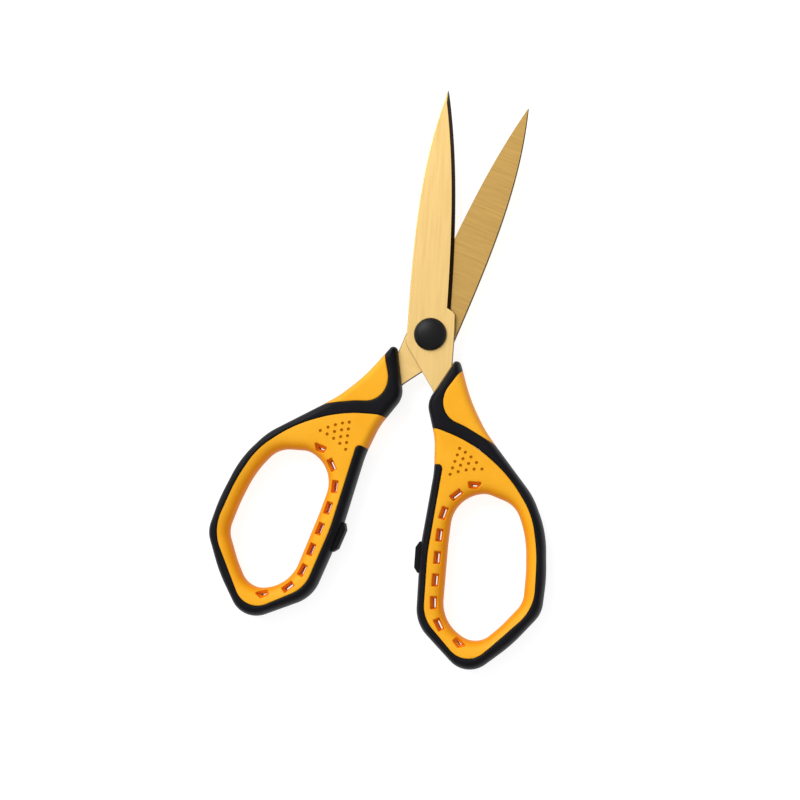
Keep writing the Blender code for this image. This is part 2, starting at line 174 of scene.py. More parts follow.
# The core's hidden tongue, which the grip closes round. Its first corner lies inside the handle's.
TONGUE_CORNER = (10.2, -8.6, 2.6)
TONGUE_TOP = 3.5
TONGUE_TO_OPENING = 1.2
TONGUE_TO_SLOT = 0.1
RIM_WIDTH = 2.2

BUMPER_TOP = 3.0
BUMPER_ROUND = 0.45
BUMPER_DROP = 0.6
BUMPER_POWER = 3.0
BUMPER_FIT = 0.05

# Loose points that fill in between the outlines, and how far they keep from them.
GRID_LOW = (0, -122)
GRID_HIGH = (50, -8)
GRID_SPACING = 1.6
CORE_CLEAR = 0.8
GRIP_CLEAR = 0.9

# How far a cutter reaches past what it cuts, the height under which top and underside share points,
# and how near each other two points of a flat outline are made one.
BEYOND = 1.0
EDGE_HEIGHT = 0.001
MERGE_WITHIN = 0.0001

# Blade: its inner face's height, its outline's ends, its bevel and rounded edges, and its holes.
BLADE_INNER = MIDDLE + 0.1
BLADE_THICKNESS = 1.9
TIP_X = 0.1
TIP_Y = 90.0
TIP_POINT = 1.0
SPINE_END_Y = 90.5
SPINE_POWER = 3.2
EDGE_X = 6.6
EDGE_END_Y = 92.0
EDGE_POWER = 2.9
HEEL_Y = 10.0
HEEL_STEP = [(8.5, 7.9, 1.0), (8.8, 2.0, 30)]
BEVEL_WIDTH = 1.2
BEVEL_FROM_Y = 8.0
BEVEL_TILT = 0.2
FLAT_TILT = 0.9
SPINE_ROUND = 0.25
TANG_ROUND = 0.2
INNER_BREAK = 0.15
# Depths below the outer face of the rings down the blade's sides and round its edges.
SIDE_DEPTHS = (1.2, 0.6)
ROUND_DEPTHS = (0.15, 0.06)
TANG_FIT = 0.12
TANG_HOLES = [(7.6, -25.5), (9.5, -32.5)]
TANG_HOLE_RADIUS = 1.8
PIVOT_HOLE_RADIUS = 2.6
RECESS_RADIUS = 5.5
RECESS_DEPTH = 0.3

# Pivot caps. The heights are those of the rim's open side, and the cavities are measured from there.
CAP_RADIUS = 6.0
CAP_RIM = 0.7
CAP_BREAK = 0.12
CAP_CAVITY_RADIUS = 4.7
FRONT_CAP_LOW = 7.6
FRONT_CAP_DOME = 2.7
FRONT_CAP_CAVITY = 1.7
REAR_CAP_HIGH = 3.4
REAR_CAP_DOME = 3.1
REAR_CAP_CAVITY = 2.1


# Outlines


def unit(dx, dy):
    length = math.hypot(dx, dy)
    return dx / length, dy / length


def rounded(corners, spacing=0.8, step=8.0):
    """The closed outline through corners (x, y, radius).

    It has a point at least every spacing, in millimetres, and every step, in degrees, round an arc.
    """
    points = []
    for i, (x, y, radius) in enumerate(corners):
        before = corners[i - 1]
        after = corners[(i + 1) % len(corners)]
        ax, ay = unit(before[0] - x, before[1] - y)
        bx, by = unit(after[0] - x, after[1] - y)
        turn = math.pi - math.acos(max(-1.0, min(1.0, ax * bx + ay * by)))
        if radius <= 0 or turn < 0.001:
            points.append((x, y))
            continue
        reach = radius * math.tan(turn / 2)
        mx, my = unit(ax + bx, ay + by)
        cx = x + mx * radius / math.cos(turn / 2)
        cy = y + my * radius / math.cos(turn / 2)
        start = math.atan2(y + reach * ay - cy, x + reach * ax - cx)
        end = math.atan2(y + reach * by - cy, x + reach * bx - cx)
        sweep = (end - start + math.pi) % (2 * math.pi) - math.pi
        sweep_parts = math.ceil(math.degrees(abs(sweep)) / step)
        parts = max(1, sweep_parts, math.ceil(abs(sweep) * radius / spacing))
        for j in range(parts + 1):
            angle = start + sweep * j / parts
            points.append((cx + radius * math.cos(angle), cy + radius * math.sin(angle)))
    filled = []
    for (ax, ay), (bx, by) in zip(points, points[1:] + points[:1]):
        parts = max(1, math.ceil(math.hypot(bx - ax, by - ay) / spacing))
        filled += [(ax + (bx - ax) * k / parts, ay + (by - ay) * k / parts) for k in range(parts)]
    return np.array(filled)


def offset(line, distance):
    """The outline moved outwards by distance, or inwards if it is negative."""
    before = np.roll(line, 1, axis=0)
    after = np.roll(line, -1, axis=0)
    left = np.sum(line[:, 0] * after[:, 1] - line[:, 1] * after[:, 0]) > 0
    into = line - before
    out = after - line
    into /= np.linalg.norm(into, axis=1)[:, None]
    out /= np.linalg.norm(out, axis=1)[:, None]
    normal = into + out
    normal = np.c_[normal[:, 1], -normal[:, 0]] * (1 if left else -1)
    normal /= np.linalg.norm(normal, axis=1)[:, None]
    side = np.c_[into[:, 1], -into[:, 0]] * (1 if left else -1)
    stretch = np.maximum(0.5, (normal * side).sum(axis=1))
    return line + normal * (distance / stretch)[:, None]


def distance_to(points, line):
    """How far each point is from the closed outline."""
    best = np.full(len(points), np.inf)
    for a, b in zip(line, np.roll(line, -1, axis=0)):
        along = b - a
        from_a = points - a
        share = np.clip(from_a @ along / (along @ along), 0, 1)
        best = np.minimum(best, ((from_a - share[:, None] * along) ** 2).sum(axis=1))
    return np.sqrt(best)


def inside(points, line):
    """Which points lie inside the closed outline."""
    found = np.zeros(len(points), bool)
    x, y = points[:, 0], points[:, 1]
    for (ax, ay), (bx, by) in zip(line, np.roll(line, -1, axis=0)):
        if ay != by:
            crosses = (ay > y) != (by > y)
            found ^= crosses & (x < (bx - ax) * (y - ay) / (by - ay) + ax)
    return found


def rise(distance, width, power):
    """0 at an edge and 1 from width inwards, on a superellipse that leaves the edge upright."""
    inward = 1 - np.clip(distance / width, 0, 1)
    return (1 - inward**power) ** (1 / power)


def ring_distances(width, power, count):
    """Distances from an edge where that superellipse turns by equal steps."""
    turns = [math.pi / 2 * k / count for k in range(1, count + 1)]
    return [width * (1 - math.cos(turn) ** (2 / power)) for turn in turns]


# Meshes


def mesh_object(name, vertices, faces):
    """A new object with this mesh, its faces all turned outwards."""
    mesh = bpy.data.meshes.new(name)
    mesh.from_pydata([tuple(v) for v in vertices], [], faces)
    mesh.validate()
    obj = bpy.data.objects.new(name, mesh)
    bpy.context.scene.collection.objects.link(obj)
    shape = bmesh.new()
    shape.from_mesh(mesh)
    bmesh.ops.recalc_face_normals(shape, faces=shape.faces[:])
    shape.to_mesh(mesh)
    shape.free()
    shade(obj)
    return obj


def shade(obj, smooth_below=40):
    """Smooth shading across edges that turn by less than this many degrees."""
    obj.data.shade_smooth()
    obj.data.set_sharp_from_angle(angle=math.radians(smooth_below))


def triangulated(rings, loose):
    """Points and triangles that keep every ring's edges and take in the loose points."""
    verts = []
    edges = []
    for ring in rings:
        base = len(verts)
        verts += [Vector(p) for p in ring]
        edges += [(base + i, base + (i + 1) % len(ring)) for i in range(len(ring))]
    verts += [Vector(p) for p in loose]
    points, _, faces, *_ = delaunay_2d_cdt(verts, edges, [], 0, MERGE_WITHIN, False)
    return np.array([tuple(point) for point in points]), [tuple(face) for face in faces]


def field_solid(name, rings, loose, in_region, height):
    """A closed solid over the region, height(points) above the middle plane and as much below it."""
    points, faces = triangulated(rings, loose)
    corners = np.array(faces)
    keep = in_region(points[corners].mean(axis=1))
    corners = corners[keep]
    used, corners = np.unique(corners, return_inverse=True)
    corners = corners.reshape(-1, 3)
    points = points[used]
    up = height(points)
    flat = up < EDGE_HEIGHT
    up[flat] = 0.0
    count = len(points)
    lower = np.where(flat, np.arange(count), np.arange(count) + count)
    xy = points * MM
    vertices = np.vstack([np.c_[xy, (MIDDLE + up) * MM], np.c_[xy, (MIDDLE - up) * MM]])
    sides = set()
    polygons = []
    for a, b, c in corners.tolist():
        polygons.append((a, b, c))
        polygons.append((int(lower[c]), int(lower[b]), int(lower[a])))
        for edge in ((a, b), (b, c), (c, a)):
            if edge[::-1] in sides:
                sides.discard(edge[::-1])
            else:
                sides.add(edge)
    for a, b in sorted(sides):
        wall = [b, a, int(lower[a]), int(lower[b])]
        wall = [v for i, v in enumerate(wall) if v not in wall[:i]]
        if len(wall) > 2:
            polygons.append(tuple(wall))
    used, places = np.unique(np.concatenate([np.array(p) for p in polygons]), return_inverse=True)
    ends = np.cumsum([len(p) for p in polygons])[:-1]
    polygons = [tuple(p.tolist()) for p in np.split(places, ends)]
    return mesh_object(name, vertices[used], polygons)


def prism(name, outlines, low, high):
    """Upright prisms over the outlines, as one mesh."""
    vertices = []
    faces = []
    for outline in outlines:
        base = len(vertices)
        n = len(outline)
        vertices += [(x * MM, y * MM, low * MM) for x, y in outline]
        vertices += [(x * MM, y * MM, high * MM) for x, y in outline]
        faces.append(tuple(base + i for i in reversed(range(n))))
        faces.append(tuple(base + n + i for i in range(n)))
        for i in range(n):
            j = (i + 1) % n
            faces.append((base + i, base + j, base + n + j, base + n + i))
    return mesh_object(name, vertices, faces)


def combine(target, operation, tool):
    """Applies a boolean of the tool to the target, and deletes the tool."""
    modifier = target.modifiers.new(operation.lower(), "BOOLEAN")
    modifier.operation = operation
    modifier.object = tool
    modifier.solver = "EXACT"
    graph = bpy.context.evaluated_depsgraph_get()
    mesh = bpy.data.meshes.new_from_object(target.evaluated_get(graph))
    target.modifiers.clear()
    target.data = mesh
    bpy.data.objects.remove(tool)
    shade(target)


def turned(name, profile):
    """A profile of (radius, z) in millimetres, turned about the pivot axis."""
    shape = bmesh.new()
    verts = [shape.verts.new((radius * MM, 0, z * MM)) for radius, z in profile]
    edges = [shape.edges.new((verts[i - 1], verts[i])) for i in range(len(verts))]
    bmesh.ops.spin(
        shape,
        geom=verts + edges,
        cent=(0, 0, 0),
        axis=(0, 0, 1),
        angle=2 * math.pi,
        steps=96,
        use_merge=True,
    )
    bmesh.ops.remove_doubles(shape, verts=shape.verts[:], dist=MERGE_WITHIN * MM)
    bmesh.ops.recalc_face_normals(shape, faces=shape.faces[:])
    mesh = bpy.data.meshes.new(name)
    shape.to_mesh(mesh)
    shape.free()
    obj = bpy.data.objects.new(name, mesh)
    bpy.context.scene.collection.objects.link(obj)
    shade(obj)
    return obj


# Handle outlines, finely divided

handle_line = rounded(HANDLE)
opening_line = rounded(OPENING)
face_line = rounded(FACE)
shoulder_line = rounded(SHOULDER)
tongue_line = offset(rounded([TONGUE_CORNER, *HANDLE[1:]]), -RIM_WIDTH)
bumper_line = rounded(BUMPER, spacing=0.5, step=15)


def slot_places():
    """(centre, direction) of each slot, at one pitch along a line around the finger opening."""
    line = [Vector(p) for p in offset(opening_line, SLOT_TO_OPENING)]
    middle_x = sum(point.x for point in line) / len(line)
    start = min(range(len(line)), key=lambda i: (line[i].x > middle_x, abs(line[i].y - SLOT_MIDDLE_Y)))
    line = line[start:] + line[:start]
    lengths = [0.0]
    for a, b in zip(line, line[1:]):
        lengths.append(lengths[-1] + (b - a).length)
    total = lengths[-1] + (line[0] - line[-1]).length
    places = []
    for i in range(SLOT_COUNT):
        along = (i - SLOT_COUNT // 2) * SLOT_PITCH % total
        k = max(j for j in range(len(line)) if lengths[j] <= along)
        direction = (line[(k + 1) % len(line)] - line[k]).normalized()
        places.append((line[k] + direction * (along - lengths[k]), direction))
    return places


def slot_corners():
    """The corners of each slot's mouth: the row around the opening, and one at each of its ends."""
    slots = []
    for centre, direction in slot_places():
        across = Vector((-direction.y, direction.x))
        corners = []
        for u, v in ((-1, -1), (1, -1), (1, 1), (-1, 1)):
            corner = centre + direction * u * SLOT_LENGTH / 2 + across * v * SLOT_WIDTH / 2
            corners.append((corner.x, corner.y, SLOT_CORNER))
        slots.append(corners)
    return slots + END_SLOTS


def slot_line(corners, inset):
    """A slot's outline, its straight sides moved inwards and its corners kept."""
    points = [Vector(corner[:2]) for corner in corners]
    area = sum(a.x * b.y - a.y * b.x for a, b in zip(points, points[1:] + points[:1]))
    turn = Matrix(((0, -1), (1, 0))) if area > 0 else Matrix(((0, 1), (-1, 0)))
    moved = []
    for i, (_, _, radius) in enumerate(corners):
        before = turn @ (points[i] - points[i - 1]).normalized()
        after = turn @ (points[(i + 1) % len(points)] - points[i]).normalized()
        corner = points[i] + (before + after) * inset / (1 + before.dot(after))
        radius = max(SLOT_CORNER_LEAST, radius - SLOT_CORNER_SHRINK * inset)
        moved.append((corner.x, corner.y, radius))
    return rounded(moved, spacing=0.4, step=22.5)


slots = slot_corners()
slot_mouths = [slot_line(corners, 0) for corners in slots]
slot_steps = [END_SLOT_STEP if corners in END_SLOTS else 1.0 for corners in slots]
throat_inset = SLOT_WALL[-1][0]
slot_throats = [slot_line(corners, throat_inset * step) for corners, step in zip(slots, slot_steps)]
dimples = [
    DIMPLE_APEX + DIMPLE_LEFT * (row - k) + DIMPLE_RIGHT * k + DIMPLE_DROOP * k**2
    for row in range(DIMPLE_ROWS)
    for k in range(row + 1)
]

# Places in the core's list of materials.
SURFACE, SLOT_WALLS, DIMPLES = range(3)


def outer_height(points, top):
    return top * rise(distance_to(points, handle_line), OUTER_WIDTH, OUTER_POWER)


def seam_distance(points):
    return np.minimum(distance_to(points, face_line), distance_to(points, shoulder_line))


def in_core(points):
    shown = inside(points, face_line) | inside(points, shoulder_line)
    found = inside(points, handle_line) & shown & ~inside(points, opening_line)
    for line in slot_throats:
        found &= ~inside(points, line)
    return found


def core_height(points):
    """The core's rounded top, with its lips, its slope to the opening, and its slots and dimples."""
    up = outer_height(points, CORE_TOP)
    up -= CORE_LIP_DROP * (1 - rise(seam_distance(points), CORE_LIP, LIP_POWER))
    to_opening = distance_to(points, opening_line)
    up = np.minimum(up, CORE_TOP * rise(to_opening, CORE_OPENING_WIDTH, CORE_OPENING_POWER))
    for line, step in zip(slot_mouths, slot_steps):
        away = distance_to(points, line)
        lip = up - SLOT_LIP * (1 - rise(away, SLOT_LIP, LIP_POWER))
        wall = np.interp(away / step, *zip(*SLOT_WALL))
        up = np.where(inside(points, line), np.minimum(up - SLOT_LIP, wall), lip)
    for centre in dimples:
        away = np.hypot(points[:, 0] - centre.x, points[:, 1] - centre.y) / DIMPLE_RADIUS
        up -= DIMPLE_DEPTH * rise(1 - away, 1.0, DIMPLE_POWER)
    return up


def loose_points(lines, gap):
    """Staggered rows of points, none of them within gap of a line."""
    xs = np.arange(GRID_LOW[0], GRID_HIGH[0], GRID_SPACING)
    ys = np.arange(GRID_LOW[1], GRID_HIGH[1], GRID_SPACING)
    x, y = np.meshgrid(xs, ys)
    x[1::2] += GRID_SPACING / 2
    points = np.c_[x.ravel(), y.ravel()]
    keep = np.ones(len(points), bool)
    for line in lines:
        keep &= distance_to(points, line) > gap
    return points[keep]


def circle(centre, radius, steps):
    turns = 2 * math.pi * np.arange(steps) / steps
    return np.c_[centre[0] + radius * np.cos(turns), centre[1] + radius * np.sin(turns)]


def tang_pocket():
    """The space that a blade's tang takes up in a handle."""
    low = BLADE_INNER - TANG_FIT
    outline = offset(rounded(TANG, spacing=4, step=15), TANG_FIT)
    return prism("pocket", [outline], low, low + BLADE_THICKNESS + 2 * TANG_FIT)


def core_rings():
    """Every line that the core's surface bends along."""
    rings = [handle_line, face_line, shoulder_line, opening_line]
    rings += [offset(handle_line, -d) for d in ring_distances(OUTER_WIDTH, OUTER_POWER, 9)]
    steep_part = ring_distances(CORE_OPENING_WIDTH, CORE_OPENING_POWER, 12)[:9]
    rings += [offset(opening_line, d) for d in steep_part]
    lip = ring_distances(CORE_LIP, LIP_POWER, 4)
    rings += [offset(line, -d) for line in (face_line, shoulder_line) for d in lip]
    for corners, mouth, step in zip(slots, slot_mouths, slot_steps):
        rings += [slot_line(corners, inset * step) for inset, _ in SLOT_WALL]
        rings += [offset(mouth, d) for d in ring_distances(SLOT_LIP, LIP_POWER, 4)]
    for centre in dimples:
        rings += [circle(centre, DIMPLE_RADIUS * share, 16) for share in DIMPLE_RINGS]
    return rings


def core_mesh():
    loose = loose_points([handle_line, opening_line, *slot_mouths], CORE_CLEAR)
    core = field_solid("right_handle_core_fine", core_rings(), loose, in_core, core_height)
    tongue = prism("tongue", [tongue_line], MIDDLE - TONGUE_TOP, MIDDLE + TONGUE_TOP)
    openings = [offset(opening_line, TONGUE_TO_OPENING)]
    openings += [offset(line, TONGUE_TO_SLOT) for line in slot_mouths]
    combine(tongue, "DIFFERENCE", prism("openings", openings, -BEYOND, THICKNESS + BEYOND))
    combine(core, "UNION", tongue)
    combine(core, "DIFFERENCE", tang_pocket())
    centres = np.array([tuple(polygon.center)[:2] for polygon in core.data.polygons]) / MM
    indices = np.full(len(centres), SURFACE)
    # The slots' walls and the dimples take the orange materials of painted shade.
    for line in slot_mouths:
        indices[inside(centres, line)] = SLOT_WALLS
    for centre in dimples:
        indices[np.hypot(*(centres - np.array(centre)).T) < DIMPLE_RADIUS] = DIMPLES
    core.data.polygons.foreach_set("material_index", indices.tolist())
    return core


def in_grip(points):
    found = inside(points, handle_line)
    for line in (face_line, shoulder_line):
        found &= ~inside(points, offset(line, SEAM_GAP))
    return found


def grip_height(points):
    from_seam = seam_distance(points) - SEAM_GAP
    return outer_height(points, GRIP_TOP) - GRIP_LIP_DROP * (1 - rise(from_seam, GRIP_LIP, LIP_POWER))


def grip_mesh():
    seams = (face_line, shoulder_line)
    rings = [handle_line]
    rings += [offset(handle_line, -d) for d in ring_distances(OUTER_WIDTH, OUTER_POWER, 10)]
    rings += [offset(line, SEAM_GAP) for line in seams]
    lip = ring_distances(GRIP_LIP, LIP_POWER, 5)
    rings += [offset(line, SEAM_GAP + d) for line in seams for d in lip]
    loose = loose_points([handle_line, *seams], GRIP_CLEAR)
    grip = field_solid("right_soft_grip_fine", rings, loose, in_grip, grip_height)
    reach = TONGUE_TOP + SEAM_GAP
    groove = offset(tongue_line, SEAM_GAP)
    combine(grip, "DIFFERENCE", prism("groove", [groove], MIDDLE - reach, MIDDLE + reach))
    combine(grip, "DIFFERENCE", tang_pocket())
    reach = BUMPER_TOP + BUMPER_FIT
    seat = offset(bumper_line, BUMPER_FIT)
    combine(grip, "DIFFERENCE", prism("seat", [seat], MIDDLE - reach, MIDDLE + reach))
    return grip


def in_bumper(points):
    return inside(points, bumper_line)


def bumper_height(points):
    from_edge = distance_to(points, bumper_line)
    return BUMPER_TOP - BUMPER_DROP * (1 - rise(from_edge, BUMPER_ROUND, LIP_POWER))


def bumper_mesh():
    rings = [bumper_line]
    rings += [offset(bumper_line, -d) for d in ring_distances(BUMPER_ROUND, BUMPER_POWER, 6)]
    return field_solid("right_stop_bumper_fine", rings, [], in_bumper, bumper_height)


# Blade

# Places in a blade's list of materials.
OUTER, INNER, BEVEL, SIDE = range(4)


def spine_x(y):
    """The spine, which curves in until it meets the middle line just past the tip."""
    return SPINE_X * (1 - (y / SPINE_END_Y) ** SPINE_POWER)


def edge_x(y):
    """The cutting edge, which curves in likewise."""
    return EDGE_X * (1 - (y / EDGE_END_Y) ** EDGE_POWER)


def blade_line():
    steps = 70
    heights = [HEEL_Y + (TIP_Y - HEEL_Y) * (i / steps) ** 0.85 for i in range(steps + 1)]
    edge = [(edge_x(y), y, 0) for y in reversed(heights)]
    spine = [(SPINE_X, -4.0, 3), (SPINE_X, 0.0, 0), *[(spine_x(y), y, 0) for y in heights]]
    tip = (TIP_X, TIP_Y + TIP_POINT, 0)
    return rounded([tip, *edge, *HEEL_STEP, *TANG[1:-1], *spine], spacing=1.5, step=8)


def ground(line, depth):
    """The outline as it is at depth below the outer face: bevelled at the edge, rounded elsewhere."""
    made = []
    share = 1 - depth / BLADE_THICKNESS
    rounding = 1 - min(1.0, depth / SPINE_ROUND)
    rounding = 1 - math.sqrt(1 - rounding**2)
    rounding = max(rounding, 1 - (BLADE_THICKNESS - depth) / INNER_BREAK)
    for (x, y), (inset_x, inset_y) in zip(line, offset(line, -TANG_ROUND)):
        if y > TIP_Y:
            made.append((x * (1 - share), y - TIP_POINT / 2 * share))
        elif x > 0 and y >= HEEL_Y - 0.01:
            bevel = min(BEVEL_WIDTH, (edge_x(y) - spine_x(y)) / 2)
            made.append((x - bevel * share, y))
        elif x < 0 and y >= 0:
            reach = min(SPINE_ROUND, (edge_x(y) - spine_x(y)) / 6)
            made.append((x + reach * rounding, y))
        else:
            made.append((x + (inset_x - x) * rounding, y + (inset_y - y) * rounding))
    return made


def blade_mesh():
    line = blade_line()
    inner_side = [BLADE_THICKNESS, BLADE_THICKNESS - INNER_BREAK]
    depths = [*inner_side, *SIDE_DEPTHS, SPINE_ROUND, *ROUND_DEPTHS, 0.0]
    vertices = []
    faces = []
    n = len(line)
    for depth in depths:
        z = (BLADE_INNER + BLADE_THICKNESS - depth) * MM
        vertices += [(x * MM, y * MM, z) for x, y in ground(line, depth)]
    faces.append(tuple(reversed(range(n))))
    faces.append(tuple(range((len(depths) - 1) * n, len(depths) * n)))
    for low in range(0, (len(depths) - 1) * n, n):
        for i in range(n):
            j = (i + 1) % n
            faces.append((low + i, low + j, low + n + j, low + n + i))
    blade = mesh_object("front_blade_fine", vertices, faces)
    recess = circle((0, 0), RECESS_RADIUS, 64)
    low = BLADE_INNER - BEYOND
    combine(blade, "DIFFERENCE", prism("recess", [recess], low, BLADE_INNER + RECESS_DEPTH))
    holes = [circle((0, 0), PIVOT_HOLE_RADIUS, 64)]
    holes += [circle(centre, TANG_HOLE_RADIUS, 32) for centre in TANG_HOLES]
    combine(blade, "DIFFERENCE", prism("holes", holes, low, BLADE_INNER + BLADE_THICKNESS + BEYOND))
    # The bevel's faces take the painted dark reflection, and the sides take painted shade.
    for polygon in blade.data.polygons:
        normal = polygon.normal
        if normal.z > FLAT_TILT:
            polygon.material_index = OUTER
        elif normal.z < -FLAT_TILT:
            polygon.material_index = INNER
        elif normal.z > BEVEL_TILT and normal.x > 0 and polygon.center.y > BEVEL_FROM_Y * MM:
            polygon.material_index = BEVEL
        else:
            polygon.material_index = SIDE
    shade(blade, 12)
    return blade


# Pivot caps


def dome(height):
    """A dome's profile from its top down to its rim, as (radius, height)."""
    steps = 20
    turns = [math.pi / 2 * i / steps for i in range(steps + 1)]
    return [(CAP_RADIUS * math.sin(turn), height * math.cos(turn)) for turn in turns]


def front_cap_mesh():
    low = FRONT_CAP_LOW
    ceiling = low + FRONT_CAP_CAVITY
    profile = [(radius, low + CAP_RIM + up) for radius, up in dome(FRONT_CAP_DOME)]
    profile += [(CAP_RADIUS, low + CAP_BREAK), (CAP_RADIUS - CAP_BREAK, low)]
    profile += [(CAP_CAVITY_RADIUS, low), (CAP_CAVITY_RADIUS, ceiling), (0, ceiling)]
    return turned("front_pivot_cap_fine", profile)


def rear_cap_mesh():
    """The rear cap, whose dome is cut flat where the scissors rest on it."""
    high = REAR_CAP_HIGH
    floor = high - REAR_CAP_CAVITY
    rim = high - CAP_RIM
    flat = CAP_RADIUS * math.sqrt(1 - (rim / REAR_CAP_DOME) ** 2)
    outside = [(radius, rim - up) for radius, up in dome(REAR_CAP_DOME) if up < rim]
    profile = [(0, floor), (CAP_CAVITY_RADIUS, floor), (CAP_CAVITY_RADIUS, high)]
    profile += [(CAP_RADIUS - CAP_BREAK, high), (CAP_RADIUS, high - CAP_BREAK)]
    profile += [*reversed(outside), (flat, 0.0), (0, 0.0)]
    return turned("rear_pivot_cap_fine", profile)


# Materials


class Shader:
    """A new material's node tree, with short calls for the nodes used here."""

    def __init__(self, name):
        self.material = bpy.data.materials.new(name)
        self.material.use_nodes = True
        self.tree = self.material.node_tree
        self.surface = self.tree.nodes["Principled BSDF"]

    def set(self, **values):
        """Sets surface values, with underscores for the spaces in their names."""
        for name, value in values.items():
            self.surface.inputs[name.replace("_", " ")].default_value = value

    def link(self, output, name):
        self.tree.links.new(output, self.surface.inputs[name])

    def coordinates(self, stretch=(1, 1, 1), turn=0.0):
        """The piece's own coordinates in metres, turned about Z and stretched along each axis."""
        place = self.tree.nodes.new("ShaderNodeTexCoord")
        mapping = self.tree.nodes.new("ShaderNodeMapping")
        mapping.vector_type = "TEXTURE"
        mapping.inputs["Scale"].default_value = stretch
        mapping.inputs["Rotation"].default_value = (0, 0, turn)
        self.tree.links.new(place.outputs["Object"], mapping.inputs["Vector"])
        return mapping.outputs["Vector"]

    def noise(self, vector, scale, detail=2.0, roughness=0.5):
        node = self.tree.nodes.new("ShaderNodeTexNoise")
        node.inputs["Scale"].default_value = scale
        node.inputs["Detail"].default_value = detail
        node.inputs["Roughness"].default_value = roughness
        self.tree.links.new(vector, node.inputs["Vector"])
        return node.outputs["Fac"]

    def ramp(self, value, stops):
        """A colour ramp, its stops (position, colour)."""
        node = self.tree.nodes.new("ShaderNodeValToRGB")
        elements = node.color_ramp.elements
        while len(elements) < len(stops):
            elements.new(0.5)
        for element, (position, colour) in zip(elements, stops):
            element.position = position
            element.color = (*colour, 1.0)
        self.tree.links.new(value, node.inputs["Fac"])
        return node.outputs["Color"]

    def spread(self, value, low, high):
        """Stretches the middle half of a value's range to low..high."""
        node = self.tree.nodes.new("ShaderNodeMapRange")
        node.inputs["From Min"].default_value = 0.25
        node.inputs["From Max"].default_value = 0.75
        node.inputs["To Min"].default_value = low
        node.inputs["To Max"].default_value = high
        self.tree.links.new(value, node.inputs["Value"])
        return node.outputs["Result"]

    def between(self, value, start, end):
        """0 up to start and 1 from end on."""
        node = self.tree.nodes.new("ShaderNodeMapRange")
        node.inputs["From Min"].default_value = start
        node.inputs["From Max"].default_value = end
        self.tree.links.new(value, node.inputs["Value"])
        return node.outputs["Result"]

    def axis(self, vector, name):
        """One coordinate, X, Y or Z, of a vector."""
        node = self.tree.nodes.new("ShaderNodeSeparateXYZ")
        self.tree.links.new(vector, node.inputs["Vector"])
        return node.outputs[name]

    def either(self, first, second):
        """The larger of two values."""
        node = self.tree.nodes.new("ShaderNodeMath")
        node.operation = "MAXIMUM"
        self.tree.links.new(first, node.inputs[0])
        self.tree.links.new(second, node.inputs[1])
        return node.outputs[0]

    def mix(self, share, first, second):
        """The first colour where share is 0, and the second where it is 1."""
        node = self.tree.nodes.new("ShaderNodeMix")
        node.data_type = "RGBA"
        self.tree.links.new(share, node.inputs["Factor"])
        self.tree.links.new(first, node.inputs[6])
        self.tree.links.new(second, node.inputs[7])
        return node.outputs[2]

    def add(self, first, second, share):
        """The first value, with that share of it taken by the second."""
        node = self.tree.nodes.new("ShaderNodeMix")
        node.inputs["Factor"].default_value = share
        self.tree.links.new(first, node.inputs["A"])
        self.tree.links.new(second, node.inputs["B"])
        return node.outputs["Result"]

    def bump(self, height, depth_mm):
        node = self.tree.nodes.new("ShaderNodeBump")
        node.inputs["Strength"].default_value = 1.0
        node.inputs["Distance"].default_value = depth_mm * MM
        self.tree.links.new(height, node.inputs["Height"])
        self.tree.links.new(node.outputs["Normal"], self.surface.inputs["Normal"])


CLOUD_SCALE = 90
CLOUD_GRAIN = 0.25


def plastic(name, dark, light, roughness, grain_mm, grain_depth_mm, specular):
    """Moulded plastic: faint clouds of colour, and the fine grain of an eroded mould."""
    made = Shader(name)
    place = made.coordinates()
    clouds = made.noise(place, CLOUD_SCALE)
    grain = made.noise(place, 1 / MM / grain_mm)
    shade_of = made.add(clouds, grain, CLOUD_GRAIN)
    made.link(made.ramp(shade_of, [(0.35, dark), (0.65, light)]), "Base Color")
    made.link(made.spread(grain, roughness - 0.05, roughness + 0.06), "Roughness")
    made.bump(grain, grain_depth_mm)
    made.set(Specular_IOR_Level=specular)
    return made.material


# The handles' yellow: its darkest and lightest on the face, then the deeper oranges of painted shade
# down the sides and at the middle plane, and the heights off the middle plane where one shade gives way
# to the next.
YELLOW_FACE = ((0.93, 0.41, 0.014), (0.97, 0.45, 0.022))
YELLOW_SIDE_PAINTED_SHADE = ((0.79, 0.28, 0.0), (0.83, 0.30, 0.0))
YELLOW_MIDDLE_PAINTED_SHADE = ((0.66, 0.19, 0.0), (0.70, 0.21, 0.0))
FACE_FROM = 5.0
SIDE_FROM = 3.6
MIDDLE_TO = 0.8


def yellow_with_painted_shade():
    """Hard yellow plastic, with painted shade: its colour deepens to orange down its sides."""
    made = Shader("yellow_hard_plastic")
    place = made.coordinates()
    grain = made.noise(place, 1 / MM / 0.25)
    clouds = made.add(made.noise(place, CLOUD_SCALE), grain, CLOUD_GRAIN)
    shades = (YELLOW_FACE, YELLOW_SIDE_PAINTED_SHADE, YELLOW_MIDDLE_PAINTED_SHADE)
    face, side, middle = [made.ramp(clouds, [(0.35, dark), (0.65, light)]) for dark, light in shades]
    height = made.axis(place, "Z")

    def off_middle(start, end):
        """0 up to start off the middle plane, on either side of it, and 1 from end on."""
        above = made.between(height, (MIDDLE + start) * MM, (MIDDLE + end) * MM)
        below = made.between(height, (MIDDLE - start) * MM, (MIDDLE - end) * MM)
        return made.either(above, below)

    # Painted shade: the colour turns to a deeper orange by height alone, down the sides and towards the
    # middle plane.
    colour = made.mix(off_middle(MIDDLE_TO, SIDE_FROM), middle, side)
    made.link(made.mix(off_middle(SIDE_FROM, FACE_FROM), colour, face), "Base Color")
    made.link(made.spread(grain, 0.35, 0.46), "Roughness")
    made.bump(grain, 0.012)
    made.set(Specular_IOR_Level=0.1)
    return made.material


